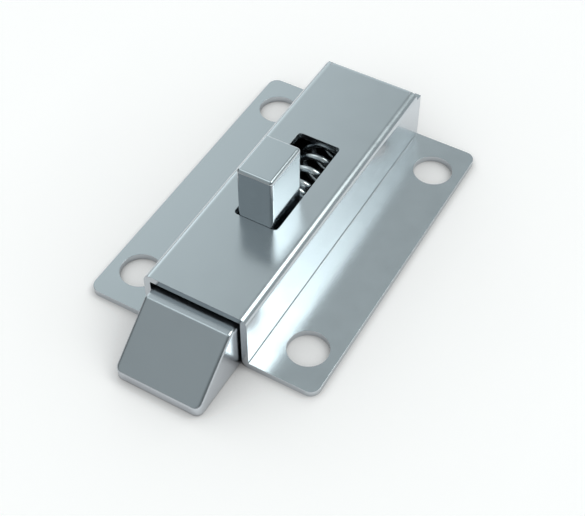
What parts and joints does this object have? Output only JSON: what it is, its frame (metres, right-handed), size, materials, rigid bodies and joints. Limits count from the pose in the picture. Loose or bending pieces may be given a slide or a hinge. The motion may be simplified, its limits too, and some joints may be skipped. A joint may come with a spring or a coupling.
{
  "type": "slide latch",
  "caption": "Surface-mounted slide latch: a bevelled spring bolt with a thumb knob runs in a folded steel housing with drilled flanges.",
  "frame": {"origin": "centre of the pattern of four fixing holes, on the mounting face (the underside of the flanges)", "axes": "+Z away from the mounting face, towards the thumb knob; +Y from the bolt's nose to the spring, the way the bolt is drawn back; +X across the latch"},
  "size_m": [0.0428, 0.0718, 0.0222],
  "materials": {
    "plated_sheet": "bright zinc plate on sheet steel, smooth, slightly blue",
    "plated_bolt": "bright zinc plate on steel, smooth",
    "plated_knob": "bright zinc plate on steel, smooth",
    "screw_steel": "zinc-plated screw",
    "spring_wire": "bright drawn spring wire",
    "stud_steel": "zinc-plated rivet stud"
  },
  "bodies": {
    "housing_body": {"housing": "plated_sheet", "spring_stud": "stud_steel", "spring": "spring_wire"},
    "bolt_body": {"latch_bolt": "plated_bolt", "thumb_knob": "plated_knob", "knob_screw": "screw_steel"}
  },
  "joints": [
    {"name": "bolt_slide", "type": "slide", "parent": "housing_body", "child": "bolt_body", "axis": [0, 1, 0], "range_m": [0, 0.0122], "stiffness_N_per_m": 5500, "springref_m": -0.002, "deforming": ["spring"]}
  ]
}
